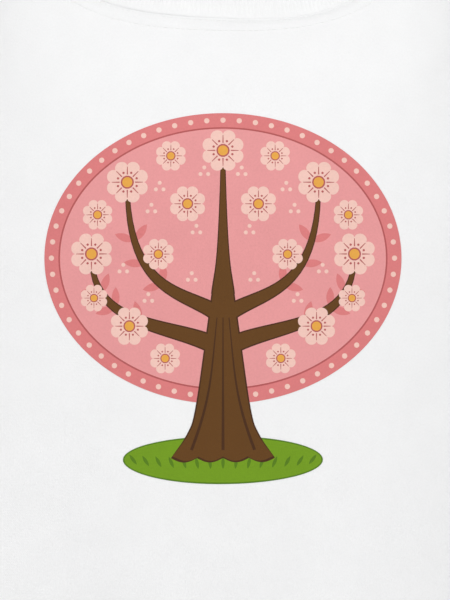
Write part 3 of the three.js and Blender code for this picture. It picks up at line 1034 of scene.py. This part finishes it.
class SHIRT_OT_collar(bpy.types.Operator):
    """Make the rib band of the collar"""

    bl_idname = "shirt.collar"
    bl_label = "Rib collar"

    def execute(self, context):
        sizes = context.scene.shirt_cut
        length = lengths_along(closed(shirt["ring"]))[-1]
        ring = even_ring(shirt["ring"], round(length / RIB_PITCH) * RIB_POINTS)
        lean = RIB_LEAN["middle"] + RIB_LEAN["more"] * (ring[:, 0] / COLLAR_HALF) ** 2
        deep = (NECK_CENTRE_Y - ring[:, 1]) / NECK_DEPTH_SHARE
        rise = unit(np.stack([-ring[:, 0], deep, 0 * lean], axis=1)) * lean[:, None]
        rise[:, 2] = np.sqrt(1 - lean**2)
        out = unit(np.cross(ring_ahead(ring), rise))
        ribs = np.cos(2 * math.pi * np.arange(len(ring)) / RIB_POINTS)
        rows = []
        for up, share in rib_track(sizes.rib_wide):
            relief = RIB_RELIEF * np.clip(share, -1, 1) * smooth_step(-0.001, 0.002, up)
            rows.append(ring + rise * up + out * (sizes.rib_thick / 2 * share + ribs * relief)[:, None])
        grid = np.array(rows)
        grid = np.concatenate([grid, grid[:, :1]], axis=1)
        across = np.arange(len(ring) + 1) * length / len(ring)
        heights = lengths_along(grid[:, 0])
        uvs = np.stack(np.broadcast_arrays(across[None, :], heights[:, None]), axis=-1)
        faces = grid_faces(closed(grid_index(grid)))
        rib = make_object("rib_collar", grid.reshape(-1, 3), faces, uvs.reshape(-1, 2))
        knit = jersey_material("rib_knit", context.scene.shirt_colours.jersey, knit=0.3)
        dress(rib, knit, "rib_knit", ["neck_rib"])
        return {"FINISHED"}


class SHIRT_OT_tape(bpy.types.Operator):
    """Sew the tape over the seam inside the back of the neck"""

    bl_idname = "shirt.tape"
    bl_label = "Neck tape"

    def execute(self, context):
        wide = context.scene.shirt_cut.tape_wide
        back = shirt["back"]
        collar = np.abs(back.points[-1, :, 0]) < COLLAR_HALF - 0.002
        far = back.from_top[::-1, collar]
        steps = (0.0005, 0.0008, 0.003, 0.006, wide - 0.0004, wide)
        rows = []
        for down in steps:
            places, normals = [
                read_columns(grid[::-1, collar], far, down) for grid in (back.points, back.normals)
            ]
            edge = 0.5 if down in (steps[0], wide) else 1
            rows.append(places - normals * (TAPE_INSIDE + TAPE_THICK * edge))
        grid = np.array(rows)
        flats = [(across, down) for down in steps for across in back.flat[-1, collar, 0]]
        tape = make_object("herringbone_tape", grid.reshape(-1, 3), grid_faces(grid_index(grid)), flats)
        weave = tape_material("tape_weave", context.scene.shirt_colours.thread)
        dress(tape, weave, "tape", ["neck_tape"])
        return {"FINISHED"}


class SHIRT_OT_stitches(bpy.types.Operator):
    """Sew the rows of stitches on the collar and the hems"""

    bl_idname = "shirt.stitches"
    bl_label = "Stitches"

    def collar_paths(self, needle_gap):
        """Two closed rows on the cloth round the collar seam."""
        skin = shirt["skin"]
        ring = even_ring(shirt["ring"], STITCH_RING)
        _, normals = skin.nearest(ring)
        away = np.cross(ring_ahead(ring), normals)
        away *= np.sign(np.sum(away * (ring - IN_NECK), axis=1))[:, None]
        rows = [skin.nearest(ring + unit(away) * far) for far in stitch_rows(needle_gap)]
        return [(closed(places), closed(normals)) for places, normals in rows]

    def execute(self, context):
        sizes = context.scene.shirt_cut
        thread = thread_material("white_thread", context.scene.shirt_colours.thread)
        rows = {"collar_stitches": self.collar_paths(sizes.needle_gap)}
        for name in PANELS:
            panel = shirt[name]
            rows[f"hem_stitches_{name}"] = [panel.hem_path(at) for at in panel.hem_rows()]
        for name, paths in rows.items():
            dress(stitch_mesh(name, paths, sizes.stitch_pitch, sizes.thread_radius), thread, "jersey")
        return {"FINISHED"}


# The printed ornament.

PRINT_Z = -0.236
PRINT_CELL = 0.003
INK_HEIGHT = 0.00013  # how far the ink lies off the middle of the yarn
CROWN = {"half": 0.090, "high": 0.073, "up": 0.020}
FOOT = {"half": 0.050, "high": 0.012, "up": -0.081}
TRUNK = {"half": 0.014, "flare": 0.012, "low": -0.080, "high": 0.012, "tip": 0.0045}
BOUGHS = (
    {"out": 0.066, "up": 0.022, "from": -0.026, "wide": 0.010},
    {"out": 0.048, "up": 0.058, "from": -0.010, "wide": 0.009},
    {"out": 0.0, "up": 0.074, "from": 0.002, "wide": 0.012},
)
BOUGH_TIP = 0.0022
EDGE_LINE = 0.0008  # the darker line round the trunk, the boughs and the foot
BORDER = 0.0072  # width of the crown's beaded border
CURVE_STEP = 0.0009  # length of the straight pieces that a round outline is made of
INKS = {  # each ink's slot in the record, and the solids that it stands for
    "rose": ("pink_ink", ["print_crown"]),
    "pink": ("pink_ink", []),
    "petal": ("pink_ink", []),
    "gold": ("pink_ink", []),
    "wine": ("pink_ink", []),
    "bark": ("brown_ink", ["print_tree"]),
    "bark_edge": ("brown_ink", []),
    "leaf": ("green_ink", ["print_foot"]),
    "leaf_edge": ("green_ink", []),
}
BEADS = {"count": 60, "radius": 0.00135}
BOUGH_LEAVES = {"long": 0.0105, "wide": 0.38, "places": (0.52, 0.66, 0.80)}
ROOTS = {"count": 4, "deep": 0.0022, "points": 41}
GRAIN = {"apart": 0.0075, "wide": 0.0015, "tip": 0.0005}
GRAIN_LINE = ((2.1, 0.004), (0.8, 0.03), (0.8, 0.04), (0.4, 0.07))  # how far apart, and how high
BLADES = {"count": 15, "reach": 0.86, "sag": 0.0045, "lean": 0.9, "long": 0.0062, "wide": 0.0017}
PETALS = 8
ROSETTE = {  # in shares of its radius
    "lobe": 0.22, "tip": 0.72, "root": 0.50, "line": 0.06, "dots": 0.47, "dot": 0.055,
    "rim": 0.31, "eye": 0.24,
}
TIP_ROSETTE = 0.0108
ROSETTES = (  # in one half of the crown: the share of the way out, the direction and the radius
    (0.70, -42, 0.0098), (0.76, 67.5, 0.0078), (0.76, 23, 0.0078), (0.77, -21, 0.0070),
    (0.76, -65, 0.0078), (0.42, 62, 0.0092), (0.36, 4, 0.0080),
)
TRIPLETS = (  # of small dots: the share of the way out and the direction
    (0.60, 80), (0.52, 40), (0.60, 54), (0.56, -8), (0.50, -34), (0.22, -38), (0.24, 52),
)
TRIPLET_RADIUS = 0.0022
TRIPLET_DOT = 0.0010


def oval(half, high, up, across=0.0):
    count = max(14, round(2 * math.pi * max(half, high) / (CURVE_STEP * 2)))
    return circle(count) * [half, high] + [across, up]


def in_crown(share, degrees):
    """A place in the crown: its share of the way out, and its direction."""
    angle = math.radians(degrees)
    return np.array([
        share * CROWN["half"] * math.cos(angle), CROWN["up"] + share * CROWN["high"] * math.sin(angle)
    ])


def inset(shape, by):
    return oval(shape["half"] - by, shape["high"] - by, shape["up"])


def stroke(line, wide, tip):
    """The outline of a stroke along flat points that narrows from one width to another."""
    ahead = unit(np.gradient(line, axis=0))
    across = np.stack([-ahead[:, 1], ahead[:, 0]], axis=1)
    half = np.linspace(wide, tip, len(line))[:, None] / 2
    cap = line[-1] + ahead[-1] * tip / 2
    return np.vstack([line - across * half, [cap], (line + across * half)[::-1]])


def flat_bezier(corners, steps=25):
    return bezier(*[np.array([*corner, 0]) for corner in corners], np.linspace(0, 1, steps))[:, :2]


def bough_line(out, up, start):
    return flat_bezier([(0, start), (out / 3, start + 0.014), (out, start + 0.008), (out, up)])


def leaf_shape(base, direction, long, wide):
    """An almond-shaped leaf that grows from a point."""
    along = np.linspace(0, 1, 9)
    side = np.sin(along * math.pi) ** 0.8 * wide / 2
    ahead = np.array(direction)
    across = np.array([-ahead[1], ahead[0]])
    upper = base + np.outer(along * long, ahead) + np.outer(side, across)
    lower = base + np.outer(along * long, ahead) - np.outer(side, across)
    return np.vstack([upper, lower[-2:0:-1]])


def rosette(centre, radius):
    """Round petals about a centre, as one outline."""
    angle = np.linspace(0, 2 * math.pi, PETALS * 14, endpoint=False)
    lobes = 1 - ROSETTE["lobe"] + ROSETTE["lobe"] * np.abs(np.sin(PETALS * angle / 2)) ** 0.6
    return centre + radius * lobes[:, None] * circle(len(angle))


def round_about(centre, radius, count, turn=0.0):
    return centre + radius * circle(count, turn)


def dot(centre, radius):
    return oval(radius, radius, centre[1], centre[0])


def paint_rosette(centre, radius):
    """A rosette with a gold eye, a ring of dots and a line between each two petals."""
    yield "petal", rosette(centre, radius)
    for tip in round_about(centre, ROSETTE["tip"] * radius, PETALS):
        root = centre + (tip - centre) * ROSETTE["root"]
        wide = ROSETTE["line"] * radius
        yield "wine", stroke(np.linspace(root, tip, 4), wide, wide / 2)
    for place in round_about(centre, ROSETTE["dots"] * radius, PETALS, math.pi / PETALS):
        yield "wine", dot(place, ROSETTE["dot"] * radius)
    yield "wine", dot(centre, ROSETTE["rim"] * radius)
    yield "gold", dot(centre, ROSETTE["eye"] * radius)


def both_sides(paint):
    """The same painting again, mirrored."""
    for colour, outline in paint:
        yield colour, outline
        yield colour, outline * [-1, 1]


def paint_crown():
    yield "rose", inset(CROWN, 0)
    for bead in even_ring(inset(CROWN, BORDER / 2), BEADS["count"]):
        yield "petal", dot(bead, BEADS["radius"])
    yield "wine", inset(CROWN, BORDER)
    yield "pink", inset(CROWN, BORDER + EDGE_LINE)


def paint_leaves(line):
    """Pairs of leaves along a bough."""
    ahead = unit(np.gradient(line, axis=0))
    long = BOUGH_LEAVES["long"]
    for share in BOUGH_LEAVES["places"]:
        k = round(share * (len(line) - 1))
        across = np.array([-ahead[k][1], ahead[k][0]])
        for side in (-1, 1):
            direction = unit(ahead[k] * 0.75 + across * side)
            yield "rose", leaf_shape(line[k], direction, long, long * BOUGH_LEAVES["wide"])


def smooth_line(points, factor):
    places = np.linspace(0, len(points) - 1, (len(points) - 1) * factor + 1)
    return read_curve(points, places)


def trunk_outline(edge):
    """The trunk, drawn in by the width of its edge line, with rounded roots at its foot."""
    half, flare, low = TRUNK["half"], TRUNK["flare"], TRUNK["low"]
    side = smooth_line(np.array([
        (half + flare - edge, low + edge),
        (half + flare / 3 - edge, low + flare),
        (half - edge, low + 2 * flare),
        (blend(half, TRUNK["tip"], 0.55) - edge, low + 5 * flare),
        (TRUNK["tip"] - edge, TRUNK["high"]),
    ]), 6)
    across = np.linspace(-half - flare, half + flare, ROOTS["points"])[1:-1] * (1 - edge / half)
    turns = np.linspace(0, ROOTS["count"] * math.pi, ROOTS["points"])[1:-1]
    roots = low + edge - ROOTS["deep"] * np.abs(np.sin(turns))
    return np.vstack([np.stack([across, roots], axis=1), side, (side * [-1, 1])[::-1]])


def paint_tree():
    for edge, colour in ((0, "bark_edge"), (EDGE_LINE, "bark")):
        yield colour, trunk_outline(edge)
        for bough in BOUGHS:
            for sign in ((-1, 1) if bough["out"] else (0,)):
                line = bough_line(sign * bough["out"], bough["up"], bough["from"])
                yield colour, stroke(line, bough["wide"] - 2 * edge, BOUGH_TIP - edge)
    for side in (-1, 0, 1):
        corners = [(side * GRAIN["apart"] * far, TRUNK["low"] + up) for far, up in GRAIN_LINE]
        yield "bark_edge", stroke(flat_bezier(corners), GRAIN["wide"], GRAIN["tip"])


def paint_foot():
    yield "leaf_edge", inset(FOOT, 0)
    yield "leaf", inset(FOOT, EDGE_LINE)
    for share in np.linspace(-BLADES["reach"], BLADES["reach"], BLADES["count"]):
        base = np.array([share * FOOT["half"], FOOT["up"] - BLADES["sag"] * math.sqrt(1 - share**2)])
        direction = unit(np.array([share * BLADES["lean"], 1.0]))
        yield "leaf_edge", leaf_shape(base, direction, BLADES["long"], BLADES["wide"])


def paint_ornament():
    """The whole ornament as coloured flat outlines, each over those before it."""
    yield from paint_crown()
    yield from paint_foot()
    *side_lines, top_line = [bough_line(bough["out"], bough["up"], bough["from"]) for bough in BOUGHS]
    for line in side_lines:
        yield from both_sides(paint_leaves(line))
    yield from paint_tree()
    for line in side_lines:
        yield from both_sides(paint_rosette(line[-1], TIP_ROSETTE))
    for share, degrees, radius in ROSETTES:
        yield from both_sides(paint_rosette(in_crown(share, degrees), radius))
    yield from paint_rosette(top_line[-1], TIP_ROSETTE)
    for share, degrees in TRIPLETS:
        for place in round_about(in_crown(share, degrees), TRIPLET_RADIUS, 3, math.pi / 2):
            yield from both_sides([("petal", dot(place, TRIPLET_DOT))])


def inside(points, outline):
    """Which points lie inside a flat outline."""
    result = np.zeros(len(points), bool)
    low, high = outline.min(axis=0), outline.max(axis=0)
    near = np.flatnonzero(((points > low) & (points < high)).all(axis=1))
    x, y = points[near].T[:, :, None]
    (x0, y0), (x1, y1) = outline.T, np.roll(outline, -1, axis=0).T
    spans = (y0 > y) != (y1 > y)
    with np.errstate(divide="ignore", invalid="ignore"):
        crosses = x < x0 + (y - y0) * (x1 - x0) / (y1 - y0)
    result[near] = (spans & crosses).sum(axis=1) % 2 == 1
    return result


def short_edges(outline):
    """The same outline with its long edges cut up, so that they bend with the cloth."""
    after = np.roll(outline, -1, axis=0)
    counts = np.maximum(1, np.ceil(np.linalg.norm(after - outline, axis=1) / PRINT_CELL)).astype(int)
    return np.vstack([
        start + (end - start) * np.arange(count)[:, None] / count
        for start, end, count in zip(outline, after, counts)
    ])


def flat_map(shapes):
    """Cuts coloured outlines into triangles of one flat map, each with the colour on top of it."""
    points, edges = [], []
    for _, outline in shapes:
        base = len(points)
        outline = short_edges(outline)
        points.extend(outline.tolist())
        edges.extend((base + k, base + (k + 1) % len(outline)) for k in range(len(outline)))
    low, high = np.min(points, axis=0), np.max(points, axis=0)
    columns, rows = [np.arange(low[axis], high[axis], PRINT_CELL) for axis in (0, 1)]
    points.extend((x, y) for y in rows for x in columns)
    made = delaunay_2d_cdt([Vector(point) for point in points], edges, [], 0, 1e-7)
    flat = np.array([vertex[:] for vertex in made[0]])
    faces = np.array([face for face in made[2] if len(face) == 3])
    middles = flat[faces].mean(axis=1)
    colours = np.full(len(faces), "", dtype=object)
    for colour, outline in shapes:
        colours[inside(middles, outline)] = colour
    return flat, faces, colours


class SHIRT_OT_print(bpy.types.Operator):
    """Print the round blossom-tree ornament on the chest"""

    bl_idname = "shirt.print"
    bl_label = "Printed ornament"

    def execute(self, context):
        colours = context.scene.shirt_colours
        flat, faces, painted = flat_map(list(paint_ornament()))
        laid = [shirt["skin"].ahead(x, PRINT_Z + y) for x, y in flat]
        normals = np.array([normal for _, normal in laid])
        points = np.array([place for place, _ in laid]) + normals * INK_HEIGHT
        for ink, (slot, nodes) in INKS.items():
            used, picked = np.unique(faces[painted == ink], return_inverse=True)
            piece = make_object(f"ink_{ink}", points[used], picked.reshape(-1, 3), flat[used])
            piece.data.normals_split_custom_set_from_vertices(normals[used].tolist())
            colour = getattr(colours, ink)
            material = jersey_material(f"ink_{ink}", colour, rough=0.8, sheen=0.1, grain=0.12)
            dress(piece, material, slot, nodes)
        return {"FINISHED"}


# The stage.

LIGHTS = {
    "key": {"place": (1.1, -2.25, 1.4), "size": 1.3, "power": 43},
    "fill": {"place": (-1.9, -1.6, 0.6), "size": 1.8, "power": 17},
    "back": {"place": (-1.2, 2.4, 1.3), "size": 1.6, "power": 39},
}
LIT = (0, -0.1, -0.25)  # the chest, which the lights face
SKY = {"Color": (0.985, 0.99, 1.0, 1), "Strength": 0.475}
FLOOR_HALF = 30.0
VIEWED = (0.001, -0.118, -0.2371)  # the point on the chest in the middle of the picture


class SHIRT_OT_stage(bpy.types.Operator):
    """Set up the floor, the lights and the camera"""

    bl_idname = "shirt.stage"
    bl_label = "Studio"

    def area_light(self, name, place, size, power):
        data = bpy.data.lights.new(name, "AREA")
        data.shape = "DISK"
        data.size = size
        data.energy = power
        light = bpy.data.objects.new(name, data)
        light.location = place
        light.rotation_euler = (Vector(LIT) - Vector(place)).to_track_quat("-Z", "Y").to_euler()
        bpy.context.collection.objects.link(light)

    def camera(self, look):
        data = bpy.data.cameras.new("camera")
        data.type = "PERSP"
        data.lens = look.lens
        data.clip_start = 0.01
        camera = bpy.data.objects.new("camera", data)
        x, y, z = VIEWED
        camera.location = (x, y - look.view_high * look.lens / data.sensor_width, z)
        camera.rotation_euler = (math.pi / 2, 0, 0)
        bpy.context.collection.objects.link(camera)
        return camera

    def execute(self, context):
        look = context.scene.studio_look
        low = HEM_Z - look.floor_gap
        square = ((-1, -1), (1, -1), (1, 1), (-1, 1))
        corners = [(x * FLOOR_HALF, y * FLOOR_HALF, low) for x, y in square]
        floor = make_object("studio_floor", corners, [(0, 1, 2, 3)])
        floor.data.materials.append(floor_material("pale_floor"))
        floor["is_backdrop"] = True

        world = bpy.data.worlds.new("studio")
        world.use_nodes = True
        for socket, value in SKY.items():
            world.node_tree.nodes["Background"].inputs[socket].default_value = value
        context.scene.world = world
        for name, light in LIGHTS.items():
            self.area_light(name, **light)
        context.scene.camera = self.camera(look)
        context.scene.view_settings.view_transform = "Standard"
        return {"FINISHED"}


class SHIRT_PT_sidebar(bpy.types.Panel):
    """The shirt's steps and sizes"""

    bl_idname = "SHIRT_PT_sidebar"
    bl_label = "Printed T-shirt"
    bl_space_type = "VIEW_3D"
    bl_region_type = "UI"
    bl_category = "Shirt"

    def draw(self, context):
        for group in ("shirt_cut", "shirt_drape", "shirt_colours", "studio_look"):
            settings = getattr(context.scene, group)
            box = self.layout.box()
            for name in settings.__annotations__:
                box.prop(settings, name)
        for step in STEPS:
            self.layout.operator(step.bl_idname)


GROUPS = {
    "shirt_cut": ShirtCut,
    "shirt_drape": ShirtDrape,
    "shirt_colours": ShirtColours,
    "studio_look": StudioLook,
}
STEPS = (
    SHIRT_OT_stage,
    SHIRT_OT_drape,
    SHIRT_OT_panels,
    SHIRT_OT_collar,
    SHIRT_OT_tape,
    SHIRT_OT_stitches,
    SHIRT_OT_print,
)
CLASSES = (*GROUPS.values(), *STEPS, SHIRT_PT_sidebar)


def register():
    for cls in CLASSES:
        bpy.utils.register_class(cls)
    for name, group in GROUPS.items():
        setattr(bpy.types.Scene, name, PointerProperty(type=group))


def unregister():
    for name in GROUPS:
        delattr(bpy.types.Scene, name)
    for cls in reversed(CLASSES):
        bpy.utils.unregister_class(cls)


def main():
    register()
    bpy.ops.shirt.stage()
    bpy.ops.shirt.drape()
    bpy.ops.shirt.panels()
    bpy.ops.shirt.collar()
    bpy.ops.shirt.tape()
    bpy.ops.shirt.stitches()
    bpy.ops.shirt.print()
    boxes = {"cad": CAD_BOX, "visual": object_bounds()}
    {name: [list(corner) for corner in box] for name, box in boxes.items()}


if __name__ == "__main__":
    main()
